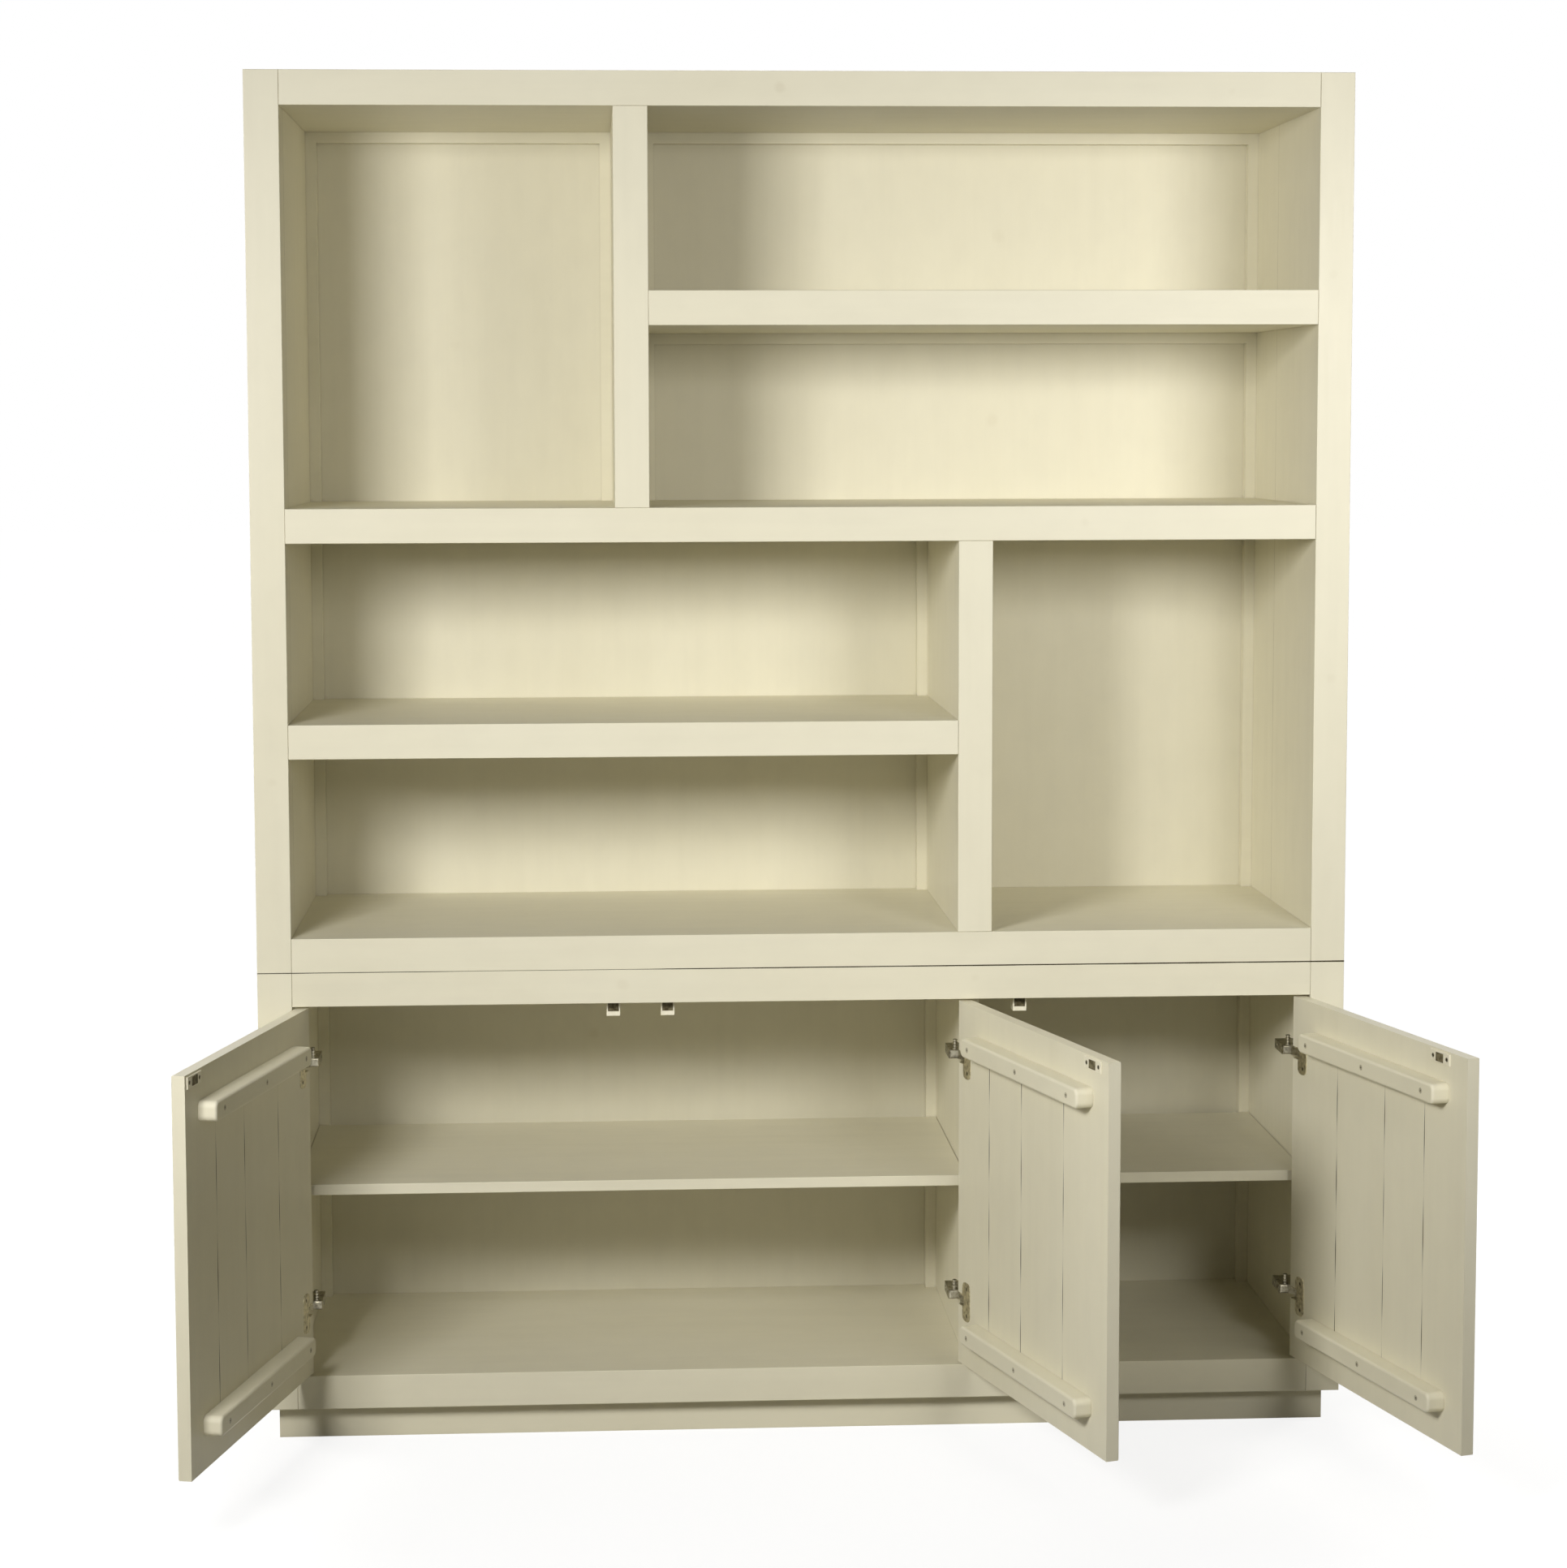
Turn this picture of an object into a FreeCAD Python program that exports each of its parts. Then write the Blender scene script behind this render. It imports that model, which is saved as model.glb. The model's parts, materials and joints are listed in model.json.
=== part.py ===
import FreeCAD, Part
import math
import os

# Sizes in millimetres and degrees. Places are measured from the cabinet's left outer face,
# its front plane and the floor, or from the hinge pin on the doors.
SIZES = {
    # whole cabinet
    "width": 1600,
    "depth": 450,
    "height": 2000,
    "board": 50,
    "base_height": 700,
    "lower_tier": 575,
    "upper_bay": 475,
    "lower_bay": 475,
    "edge_round": 1,
    "back_panel": 6,
    "lath": 17,
    # plinth
    "plinth_height": 50,
    "plinth_board": 20,
    "plinth_inset": 20,
    "plinth_setback": 28,
    # inside the base
    "partition": 18,
    "partition_setback": 22,
    "base_shelf": 16,
    "base_shelf_setback": 25,
    "base_shelf_drop": 2.5,
    "shelf_play": 1,
    "shelf_pin_radius": 2.5,
    "shelf_pin_length": 16,
    "shelf_pin_inset": 35,
    # dowels and screws
    "dowel_radius": 5,
    "dowel_length": 60,
    "slim_dowel_radius": 4,
    "slim_dowel_length": 32,
    "fastener_play": 0.1,
    "hole_end_gap": 1,
    "screw_head_radius": 3,
    "screw_radius": 1.4,
    "screw_head_depth": 1.5,
    "screw_length": 14,
    "back_screw_length": 18,
    "batten_screw_head_radius": 4,
    "batten_screw_radius": 1.9,
    "batten_screw_head_depth": 2.5,
    "batten_screw_length": 38,
    # doors
    "door_gap": 3,
    "door_thickness": 19,
    "wide_plank": 138,
    "plank_bevel": 1.5,
    "left_swing": 104,
    "middle_swing": 107,
    "right_swing": 105,
    "batten_start": 62,
    "batten_end_gap": 46,
    "batten_height": 28,
    "batten_thickness": 26,
    "batten_drop": 57,
    "batten_rise": 60,
    "batten_corner": 9,
    "batten_round": 4,
    "batten_screw_start": 25,
    "batten_screw_end": 32,
    # hinges
    "pin_inset": 6,
    "pin_radius": 1.5,
    "pin_play": 0.05,
    "hinge_drop": 83.5,
    "hinge_rise": 97,
    "knuckle_radius": 3,
    "knuckle_height": 14,
    "knuckle_play": 0.3,
    "lug": 1.5,
    "lug_reach": 15,
    "mortise_skin": 2.5,
    "flange_start": 12,
    "flange_width": 25,
    "flange_height": 58,
    "flange_thickness": 1.5,
    "flange_corner": 9,
    "flange_notch": 5,
    "flange_screw_spread": 40,
    "strap_slant": 54,
    "strap_thickness": 3,
    "arm_start": 10,
    "arm_width": 17,
    "arm_front": 16,
    "arm_length": 53,
    "arm_round": 3.5,
    "foot_front": 34,
    "wall_plate_thickness": 2.5,
    "wall_plate_width": 24,
    "wall_plate_height": 52,
    "wall_plate_screw_spread": 36,
    # catches
    "catch_plate_width": 50,
    "catch_plate_height": 16,
    "catch_plate_thickness": 2,
    "catch_plate_drop": 3,
    "catch_plate_screw_spread": 36,
    "strike_width": 18,
    "strike_height": 12,
    "strike_thickness": 1.2,
    "left_catch": 31,
    "middle_catch": 46,
    "right_catch": 69,
    "housing_width": 20,
    "housing_height": 23,
    "housing_depth": 30,
    "housing_sheet": 2,
    "housing_bottom": 6.5,
    "housing_tail": 20,
    "housing_screw_spread": 9,
    "catch_clearance": 1.8,
    "magnet_setback": 2,
    "magnet_play": 0.2,
    # how far a cutting shape runs past the surface that it opens
    "overrun": 1,
}

# Places along a board, as shares of its run
DOWEL_SHARES = (0.15, 0.5, 0.85)
LOCATING_SHARES = (0.3, 0.7)
PLINTH_DOWEL_SHARES = (0.1, 0.37, 0.63, 0.9)
LATH_SCREW_SHARES = (0.25, 0.75)
MIDDLE_ROW_SHARES = (0.1, 0.3, 0.5, 0.7, 0.9)

# Quarter turns that lay a cylinder's or cone's own axis along each direction
TURNS = {
    "+x": FreeCAD.Rotation(FreeCAD.Vector(0, 1, 0), 90),
    "-x": FreeCAD.Rotation(FreeCAD.Vector(0, 1, 0), -90),
    "-y": FreeCAD.Rotation(FreeCAD.Vector(1, 0, 0), 90),
    "+z": FreeCAD.Rotation(),
}

doc = FreeCAD.newDocument("Bookcase")
sheet = doc.addObject("Spreadsheet::Sheet", "Sizes")
for row, (alias, number) in enumerate(SIZES.items(), start=1):
    sheet.set(f"A{row}", alias)
    sheet.set(f"B{row}", str(number))
    sheet.setAlias(f"B{row}", alias)
doc.recompute()


class Measure:
    """A length or angle: its value and the sheet expression that gives it."""

    def __init__(self, text, value):
        self.text = text
        self.value = value

    def join(self, sign, other, value):
        return Measure(f"({self.text} {sign} {other.text})", value)

    def __add__(self, other):
        other = measure(other)
        return self.join("+", other, self.value + other.value)

    def __radd__(self, other):
        return measure(other) + self

    def __sub__(self, other):
        other = measure(other)
        return self.join("-", other, self.value - other.value)

    def __rsub__(self, other):
        return measure(other) - self

    def __mul__(self, other):
        other = measure(other)
        return self.join("*", other, self.value * other.value)

    def __rmul__(self, other):
        return measure(other) * self

    def __truediv__(self, other):
        other = measure(other)
        return self.join("/", other, self.value / other.value)

    def __neg__(self):
        return measure(-1) * self


def measure(number):
    return number if isinstance(number, Measure) else Measure(str(number), float(number))


def sine(angle):
    return Measure(f"sin({angle.text})", math.sin(math.radians(angle.value)))


def cosine(angle):
    return Measure(f"cos({angle.text})", math.cos(math.radians(angle.value)))


class Sizes:
    """Each alias of the sheet as a measure."""

    def __getattr__(self, alias):
        return Measure(f"Sizes.{alias}", float(sheet.get(alias)))


size = Sizes()


def bind(thing, **measures):
    for name, value in measures.items():
        thing.setExpression(name, measure(value).text)


def put(thing, x, y, z):
    bind(thing, **{".Placement.Base.x": x, ".Placement.Base.y": y, ".Placement.Base.z": z})


def seat_in_cabinet(thing):
    """Moves a piece from the cabinet's corner to the middle of its footprint."""
    put(thing, -size.width / 2, -size.depth / 2, 0)


def face_edges(shape, side):
    """The names of the four edges of a block's front or back face."""
    level = shape.BoundBox.YMin if side == "front" else shape.BoundBox.YMax
    names = []
    for number, edge in enumerate(shape.Edges, start=1):
        if all(abs(vertex.Y - level) < Part.Precision.confusion() for vertex in edge.Vertexes):
            names.append(f"Edge{number}")
    return names


def corner_edges(shape):
    """The names of a block's four edges that run from front to back."""
    names = []
    for number, edge in enumerate(shape.Edges, start=1):
        start, end = edge.Vertexes
        slip = max(abs(start.X - end.X), abs(start.Z - end.Z))
        if slip < Part.Precision.confusion():
            names.append(f"Edge{number}")
    return names


def new_body(label):
    body = doc.addObject("PartDesign::Body", label)
    body.Label = label
    return body


def add_block(body, x, y, z, length, width, height, kind="Additive"):
    block = body.newObject(f"PartDesign::{kind}Box", f"{body.Name}_block")
    bind(block, Length=length, Width=width, Height=height)
    put(block, x, y, z)
    return block


def round_face(body, block, side, radius):
    doc.recompute()
    rounding = body.newObject("PartDesign::Fillet", f"{body.Name}_round")
    rounding.Base = (block, face_edges(block.Shape, side))
    bind(rounding, Radius=radius)


def round_corners(body, block, radius):
    doc.recompute()
    rounding = body.newObject("PartDesign::Fillet", f"{body.Name}_corners")
    rounding.Base = (block, corner_edges(block.Shape))
    bind(rounding, Radius=radius)
    return rounding


def bevel_face(body, block, side, setback):
    doc.recompute()
    bevel = body.newObject("PartDesign::Chamfer", f"{body.Name}_bevel")
    bevel.Base = (block, face_edges(block.Shape, side))
    bind(bevel, Size=setback)


def add_round(body, way, x, y, z, radius, length, kind="Additive"):
    bar = body.newObject(f"PartDesign::{kind}Cylinder", f"{body.Name}_bar")
    bar.Placement = FreeCAD.Placement(FreeCAD.Vector(), TURNS[way])
    bind(bar, Radius=radius, Height=length)
    put(bar, x, y, z)


def ahead(way, place, distance):
    """The place a distance further along a direction."""
    step = distance if way[0] == "+" else -distance
    return [value + step if axis == way[1] else value for axis, value in zip("xyz", place)]


def board(label, x, y, z, length, width, height, rounded=True):
    """A board with its front edges eased."""
    body = new_body(label)
    block = add_block(body, x, y, z, length, width, height)
    if rounded:
        round_face(body, block, "front", size.edge_round)
    seat_in_cabinet(body)
    return body


def group(label, members, settle=seat_in_cabinet):
    """Like pieces that share one node, as separate solids."""
    gathered = doc.addObject("Part::Compound", label)
    gathered.Label = label
    gathered.Links = members
    settle(gathered)
    return gathered


def free_round(way, place, radius, length):
    bar = doc.addObject("Part::Cylinder", "bar")
    bar.Placement = FreeCAD.Placement(FreeCAD.Vector(), TURNS[way])
    bind(bar, Radius=radius, Height=length)
    put(bar, *place)
    return bar


def dowel(way, place, bodies, radius, length):
    """A dowel centred on a joint, and its hole in both boards."""
    start = ahead(way, place, -length / 2)
    mouth = ahead(way, place, -length / 2 - size.hole_end_gap)
    bore = length + 2 * size.hole_end_gap
    for body in bodies:
        add_round(body, way, *mouth, radius + size.fastener_play, bore, "Subtractive")
    return free_round(way, start, radius, length)


class Screw:
    """A countersunk screw's own sizes."""

    def __init__(self, head_radius, radius, head_depth, length):
        self.head_radius = head_radius
        self.radius = radius
        self.head_depth = head_depth
        self.length = length


small_screw = Screw(size.screw_head_radius, size.screw_radius, size.screw_head_depth, size.screw_length)
back_screw = Screw(size.screw_head_radius, size.screw_radius, size.screw_head_depth, size.back_screw_length)
batten_screw = Screw(
    size.batten_screw_head_radius,
    size.batten_screw_radius,
    size.batten_screw_head_depth,
    size.batten_screw_length,
)


def drive(screw, way, place, sunk_in, driven_in):
    """A screw with its head flush at a place, its countersink in one piece and its pilot holes."""
    head = doc.addObject("Part::Cone", "head")
    head.Placement = FreeCAD.Placement(FreeCAD.Vector(), TURNS[way])
    bind(head, Radius1=screw.head_radius, Radius2=screw.radius, Height=screw.head_depth)
    put(head, *place)
    shank_start = ahead(way, place, screw.head_depth)
    shank = free_round(way, shank_start, screw.radius, screw.length - screw.head_depth)
    whole = doc.addObject("Part::Fuse", "screw")
    whole.Base = head
    whole.Tool = shank
    sink = sunk_in.newObject("PartDesign::SubtractiveCone", f"{sunk_in.Name}_sink")
    sink.Placement = FreeCAD.Placement(FreeCAD.Vector(), TURNS[way])
    play = size.fastener_play
    bind(sink, Radius1=screw.head_radius + play, Radius2=screw.radius + play, Height=screw.head_depth)
    put(sink, *place)
    for body in (sunk_in, *driven_in):
        bore = screw.length + size.hole_end_gap
        add_round(body, way, *place, screw.radius + play, bore, "Subtractive")
    return whole


# Main levels and lines of the cabinet
left_face = size.board
right_face = size.width - size.board
clear_width = right_face - left_face
inner_depth = size.depth - size.back_panel
base_floor = size.plinth_height + size.board
base_roof = size.base_height - size.board
hutch_floor = size.base_height + size.board
middle_low = hutch_floor + size.lower_tier
middle_top = middle_low + size.board
hutch_roof = size.height - size.board
upper_divider_left = left_face + size.upper_bay
upper_divider_right = upper_divider_left + size.board
lower_divider_right = right_face - size.lower_bay
lower_divider_left = lower_divider_right - size.board
upper_shelf_low = (middle_top + hutch_roof - size.board) / 2
lower_shelf_low = (hutch_floor + middle_low - size.board) / 2
door_width = (clear_width - 4 * size.door_gap) / 3
door_low = base_floor + size.door_gap
door_top = base_roof - size.door_gap
door_height = door_top - door_low
partition_middle = right_face - door_width - 3 * size.door_gap / 2
partition_left = partition_middle - size.partition / 2
partition_right = partition_left + size.partition

nodes = []

# Upper unit: two full-height sides, with the boards held between them
hutch_height = size.height - size.base_height
hutch_left = board("hutch_left_side", 0, 0, size.base_height, size.board, size.depth, hutch_height)
hutch_right = board("hutch_right_side", right_face, 0, size.base_height, size.board, size.depth, hutch_height)
hutch_bottom = board("hutch_bottom", left_face, 0, size.base_height, clear_width, size.depth, size.board)
hutch_top = board("hutch_top", left_face, 0, hutch_roof, clear_width, size.depth, size.board)
middle_shelf = board("hutch_middle_shelf", left_face, 0, middle_low, clear_width, inner_depth, size.board)
upper_divider = board(
    "hutch_upper_divider", upper_divider_left, 0, middle_top, size.board, inner_depth, hutch_roof - middle_top
)
lower_divider = board(
    "hutch_lower_divider", lower_divider_left, 0, hutch_floor, size.board, inner_depth, size.lower_tier
)
upper_shelf = board(
    "hutch_upper_right_shelf",
    upper_divider_right,
    0,
    upper_shelf_low,
    right_face - upper_divider_right,
    inner_depth,
    size.board,
)
lower_shelf = board(
    "hutch_lower_left_shelf",
    left_face,
    0,
    lower_shelf_low,
    lower_divider_left - left_face,
    inner_depth,
    size.board,
)
hutch_back_height = hutch_roof - hutch_floor
hutch_back = board(
    "hutch_back_panel",
    left_face,
    inner_depth,
    hutch_floor,
    clear_width,
    size.back_panel,
    hutch_back_height,
    False,
)

# Base unit
base_side_height = size.base_height - size.plinth_height
base_low = size.plinth_height
base_left = board("base_left_side", 0, 0, base_low, size.board, size.depth, base_side_height)
base_right = board("base_right_side", right_face, 0, base_low, size.board, size.depth, base_side_height)
base_bottom = board("base_bottom", left_face, 0, base_low, clear_width, size.depth, size.board)
base_top = board("base_top", left_face, 0, base_roof, clear_width, size.depth, size.board)
base_clear_height = base_roof - base_floor
partition = board(
    "base_partition",
    partition_left,
    size.partition_setback,
    base_floor,
    size.partition,
    inner_depth - size.partition_setback,
    base_clear_height,
)
base_back = board(
    "base_back_panel",
    left_face,
    inner_depth,
    base_floor,
    clear_width,
    size.back_panel,
    base_clear_height,
    False,
)
shelf_low = base_floor + (base_clear_height - size.base_shelf) / 2 - size.base_shelf_drop
shelf_depth = inner_depth - size.lath - size.shelf_play - size.base_shelf_setback
base_left_shelf = board(
    "base_left_shelf",
    left_face + size.shelf_play,
    size.base_shelf_setback,
    shelf_low,
    partition_left - left_face - 2 * size.shelf_play,
    shelf_depth,
    size.base_shelf,
)
base_right_shelf = board(
    "base_right_shelf",
    partition_right + size.shelf_play,
    size.base_shelf_setback,
    shelf_low,
    right_face - partition_right - 2 * size.shelf_play,
    shelf_depth,
    size.base_shelf,
)

# Plinth, set in under the base
plinth_length = size.width - 2 * size.plinth_inset
plinth_back_y = size.depth - size.plinth_setback
plinth_front = board(
    "plinth_front",
    size.plinth_inset,
    size.plinth_setback,
    0,
    plinth_length,
    size.plinth_board,
    size.plinth_height,
    False,
)
plinth_back = board(
    "plinth_back",
    size.plinth_inset,
    plinth_back_y,
    0,
    plinth_length,
    size.plinth_board,
    size.plinth_height,
    False,
)
cross_start = size.plinth_setback + size.plinth_board
cross_length = plinth_back_y - cross_start


def plinth_cross(label, x):
    body = new_body(label)
    add_block(body, x, cross_start, 0, size.plinth_board, cross_length, size.plinth_height)
    return body


plinth_left_end = plinth_cross("plinth_left_end", size.plinth_inset)
plinth_right_end = plinth_cross("plinth_right_end", size.width - size.plinth_inset - size.plinth_board)
plinth_brace = plinth_cross("plinth_brace", (size.width - size.plinth_board) / 2)
seat_in_cabinet(plinth_brace)

# Dowels: through every glued joint, and between the two units to place them
dowels = []


def end_dowels(y_places, joint_x, z, bodies):
    for y in y_places:
        dowels.append(dowel("+x", (joint_x, y, z), bodies, size.dowel_radius, size.dowel_length))


def upright_dowels(y_places, x, joint_z, bodies, radius, length):
    for y in y_places:
        dowels.append(dowel("+z", (x, y, joint_z), bodies, radius, length))


dowel_lines = [share * size.depth for share in DOWEL_SHARES]
locating_lines = [share * size.depth for share in LOCATING_SHARES]
half_board = size.board / 2
full_boards = (
    (hutch_top, hutch_left, hutch_right, hutch_roof),
    (middle_shelf, hutch_left, hutch_right, middle_low),
    (hutch_bottom, hutch_left, hutch_right, size.base_height),
    (base_top, base_left, base_right, base_roof),
    (base_bottom, base_left, base_right, size.plinth_height),
)
for flat, left_side, right_side, low in full_boards:
    end_dowels(dowel_lines, left_face, low + half_board, (left_side, flat))
    end_dowels(dowel_lines, right_face, low + half_board, (flat, right_side))
end_dowels(dowel_lines, upper_divider_right, upper_shelf_low + half_board, (upper_divider, upper_shelf))
end_dowels(dowel_lines, right_face, upper_shelf_low + half_board, (upper_shelf, hutch_right))
end_dowels(dowel_lines, left_face, lower_shelf_low + half_board, (hutch_left, lower_shelf))
end_dowels(dowel_lines, lower_divider_left, lower_shelf_low + half_board, (lower_shelf, lower_divider))
uprights = (
    (upper_divider, upper_divider_left + half_board, middle_top, middle_shelf, hutch_roof, hutch_top),
    (lower_divider, lower_divider_left + half_board, hutch_floor, hutch_bottom, middle_low, middle_shelf),
)
for upright, x, low, floor_board, high, roof_board in uprights:
    upright_dowels(dowel_lines, x, low, (upright, floor_board), size.dowel_radius, size.dowel_length)
    upright_dowels(dowel_lines, x, high, (upright, roof_board), size.dowel_radius, size.dowel_length)
slim = (size.slim_dowel_radius, size.slim_dowel_length)
upright_dowels(dowel_lines, partition_middle, base_floor, (partition, base_bottom), *slim)
upright_dowels(dowel_lines, partition_middle, base_roof, (partition, base_top), *slim)
for x, lower_side, upper_side in (
    (half_board, base_left, hutch_left),
    (size.width - half_board, base_right, hutch_right),
):
    pair = (lower_side, upper_side)
    upright_dowels(locating_lines, x, size.base_height, pair, size.dowel_radius, size.dowel_length)
half_plinth = size.plinth_board / 2
for rail, y in (
    (plinth_front, size.plinth_setback + half_plinth),
    (plinth_back, plinth_back_y + half_plinth),
):
    for share in PLINTH_DOWEL_SHARES:
        x = size.plinth_inset + share * plinth_length
        upright_dowels([y], x, size.plinth_height, (rail, base_bottom), *slim)
for cross, x, above in (
    (plinth_left_end, size.plinth_inset + half_plinth, base_left),
    (plinth_right_end, size.width - size.plinth_inset - half_plinth, base_right),
    (plinth_brace, size.width / 2, base_bottom),
):
    upright_dowels(locating_lines, x, size.plinth_height, (cross, above), *slim)
nodes.append(group("dowels", dowels))
nodes.append(group("plinth_ends", [plinth_left_end, plinth_right_end]))

# Shelf pins: half in the side, or right through the partition
shelf_pins = []
pin_z = shelf_low - size.shelf_pin_radius
pin_lines = (
    size.base_shelf_setback + size.shelf_pin_inset,
    size.base_shelf_setback + shelf_depth - size.shelf_pin_inset,
)
pin_bore = size.shelf_pin_radius + size.fastener_play
half_pin = size.shelf_pin_length / 2


def shelf_pin(way, start, length, wall, hole_start, hole_length):
    for y in pin_lines:
        shelf_pins.append(free_round(way, (start, y, pin_z), size.shelf_pin_radius, length))
        add_round(wall, way, hole_start, y, pin_z, pin_bore, hole_length, "Subtractive")


side_bore = half_pin + size.hole_end_gap
shelf_pin("+x", left_face - half_pin, size.shelf_pin_length, base_left, left_face - side_bore, side_bore)
shelf_pin("+x", right_face - half_pin, size.shelf_pin_length, base_right, right_face, side_bore)
through_length = size.partition + size.shelf_pin_length
shelf_pin("+x", partition_left - half_pin, through_length, partition, partition_left, size.partition)
nodes.append(group("shelf_pins", shelf_pins))

# Laths in the back corners of every compartment, which carry the back panels
laths = []
lath_y = inner_depth - size.lath


def lath(x, z, length, height):
    body = new_body("lath")
    add_block(body, x, lath_y, z, length, size.lath, height)
    laths.append(body)
    return body


class LathFrame:
    """The laths of one compartment: one up each side and one under its top."""

    def __init__(self, left, right, low, high):
        self.left = left
        self.width = right - left
        self.low = low
        self.rise = high - low - size.lath
        self.left_middle = left + size.lath / 2
        self.right_middle = right - size.lath / 2
        self.top_middle = high - size.lath / 2
        self.left_lath = lath(left, low, size.lath, self.rise)
        self.right_lath = lath(right - size.lath, low, size.lath, self.rise)
        self.top_lath = lath(left, high - size.lath, self.width, size.lath)


upper_left_laths = LathFrame(left_face, upper_divider_left, middle_top, hutch_roof)
upper_high_laths = LathFrame(upper_divider_right, right_face, upper_shelf_low + size.board, hutch_roof)
upper_low_laths = LathFrame(upper_divider_right, right_face, middle_top, upper_shelf_low)
lower_high_laths = LathFrame(left_face, lower_divider_left, lower_shelf_low + size.board, middle_low)
lower_low_laths = LathFrame(left_face, lower_divider_left, hutch_floor, lower_shelf_low)
lower_right_laths = LathFrame(lower_divider_right, right_face, hutch_floor, middle_low)
base_left_laths = LathFrame(left_face, partition_left, base_floor, base_roof)
base_right_laths = LathFrame(partition_right, right_face, base_floor, base_roof)

# Screws that hold the back panels to the laths and to the middle shelf
back_screws = []


def back_fixing(x, z, panel, behind):
    back_screws.append(drive(back_screw, "-y", (x, size.depth, z), panel, (behind,)))


for share in LATH_SCREW_SHARES:
    for frame, panel in (
        (lower_low_laths, hutch_back),
        (lower_high_laths, hutch_back),
        (upper_left_laths, hutch_back),
        (base_left_laths, base_back),
    ):
        back_fixing(frame.left_middle, frame.low + share * frame.rise, panel, frame.left_lath)
    for frame, panel in (
        (lower_right_laths, hutch_back),
        (upper_low_laths, hutch_back),
        (upper_high_laths, hutch_back),
        (base_right_laths, base_back),
    ):
        back_fixing(frame.right_middle, frame.low + share * frame.rise, panel, frame.right_lath)
    for frame, panel in (
        (upper_left_laths, hutch_back),
        (upper_high_laths, hutch_back),
        (base_left_laths, base_back),
        (base_right_laths, base_back),
    ):
        back_fixing(frame.left + share * frame.width, frame.top_middle, panel, frame.top_lath)
for share in MIDDLE_ROW_SHARES:
    back_fixing(left_face + share * clear_width, middle_low + half_board, hutch_back, middle_shelf)
nodes.append(group("back_laths", laths))
nodes.append(group("back_panel_screws", back_screws))


class Door:
    """One of the three doors: where it hangs, which way it faces and how far it stands open."""

    def __init__(self, name, side, hinge_edge, swing, wall, wall_body, wide_first, catch):
        self.name = name
        self.side = side
        self.pin_x = hinge_edge + side * size.pin_inset
        self.swing = swing
        self.wall = side * (wall - self.pin_x)
        self.wall_body = wall_body
        self.wide_first = wide_first
        self.catch = catch
        self.outward = "-x" if side > 0 else "+x"

    def across(self, start, length):
        """The low end of a stretch that runs from the pin towards the door's free edge."""
        return start if self.side > 0 else -start - length

    def settle(self, thing):
        """Hangs a piece of the door on its hinge line at the angle that it stands open."""
        bind(thing, **{".Placement.Rotation.Angle": -self.side * self.swing})
        put(thing, self.pin_x - size.width / 2, size.pin_inset - size.depth / 2, 0)


doors = (
    Door(
        "left_door",
        1,
        left_face + size.door_gap,
        size.left_swing,
        left_face,
        base_left,
        True,
        size.left_catch,
    ),
    Door(
        "middle_door",
        -1,
        right_face - 2 * size.door_gap - door_width,
        size.middle_swing,
        partition_left,
        partition,
        False,
        size.middle_catch,
    ),
    Door(
        "right_door",
        -1,
        right_face - size.door_gap,
        size.right_swing,
        right_face,
        base_right,
        True,
        size.right_catch,
    ),
)
outer_face = -size.pin_inset
inner_face = size.door_thickness - size.pin_inset
hinge_lines = (door_low + size.hinge_rise, door_top - size.hinge_drop)
batten_lines = (door_low + size.batten_rise, door_top - size.batten_drop)
lug_inside = size.knuckle_height / 2 + size.knuckle_play
lug_outside = lug_inside + size.lug
hinge_arms = []
cabinet_screws = []


def planks(door):
    """Four upright boards, edge to edge, with the hinge pockets in the first."""
    narrow = door_width / 2 - size.wide_plank
    widths = [size.wide_plank, size.wide_plank, narrow, narrow]
    if not door.wide_first:
        widths.reverse()
    start = -size.pin_inset
    made = []
    for number, width in enumerate(widths, start=1):
        body = new_body(f"{door.name}_plank_{number}")
        block = add_block(
            body, door.across(start, width), outer_face, door_low, width, size.door_thickness, door_height
        )
        bevel_face(body, block, "front", size.plank_bevel)
        door.settle(body)
        made.append((body, start, start + width))
        start = start + width
    pocket_depth = size.door_thickness - size.mortise_skin + size.overrun
    pocket_length = size.lug_reach + size.pin_inset + size.overrun
    pocket_start = -size.pin_inset - size.overrun
    for z in hinge_lines:
        add_block(
            made[0][0],
            door.across(pocket_start, pocket_length),
            outer_face + size.mortise_skin,
            z - lug_outside,
            pocket_length,
            pocket_depth,
            2 * lug_outside,
            "Subtractive",
        )
    return made


def planks_at(made, place, radius):
    """The planks that a fastener of some radius meets."""
    low = place.value - radius.value
    high = place.value + radius.value
    return [body for body, start, end in made if start.value < high and end.value > low]


def battens(door, made):
    """Two rounded ledges screwed across the planks."""
    pieces = []
    screws = []
    start = size.batten_start - size.pin_inset
    length = door_width - size.batten_start - size.batten_end_gap
    screw_first = start + size.batten_screw_start
    screw_last = start + length - size.batten_screw_end
    for z in batten_lines:
        body = new_body(f"{door.name}_batten")
        block = add_block(
            body,
            door.across(start, length),
            inner_face,
            z - size.batten_height / 2,
            length,
            size.batten_thickness,
            size.batten_height,
        )
        corners = round_corners(body, block, size.batten_corner)
        round_face(body, corners, "back", size.batten_round)
        for place in (screw_first, (screw_first + screw_last) / 2, screw_last):
            head = (door.side * place, inner_face + size.batten_thickness, z)
            behind = planks_at(made, place, size.batten_screw_radius)
            screws.append(drive(batten_screw, "-y", head, body, behind))
        pieces.append(body)
    nodes.append(group(f"{door.name}_battens", pieces, door.settle))
    return screws


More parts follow.
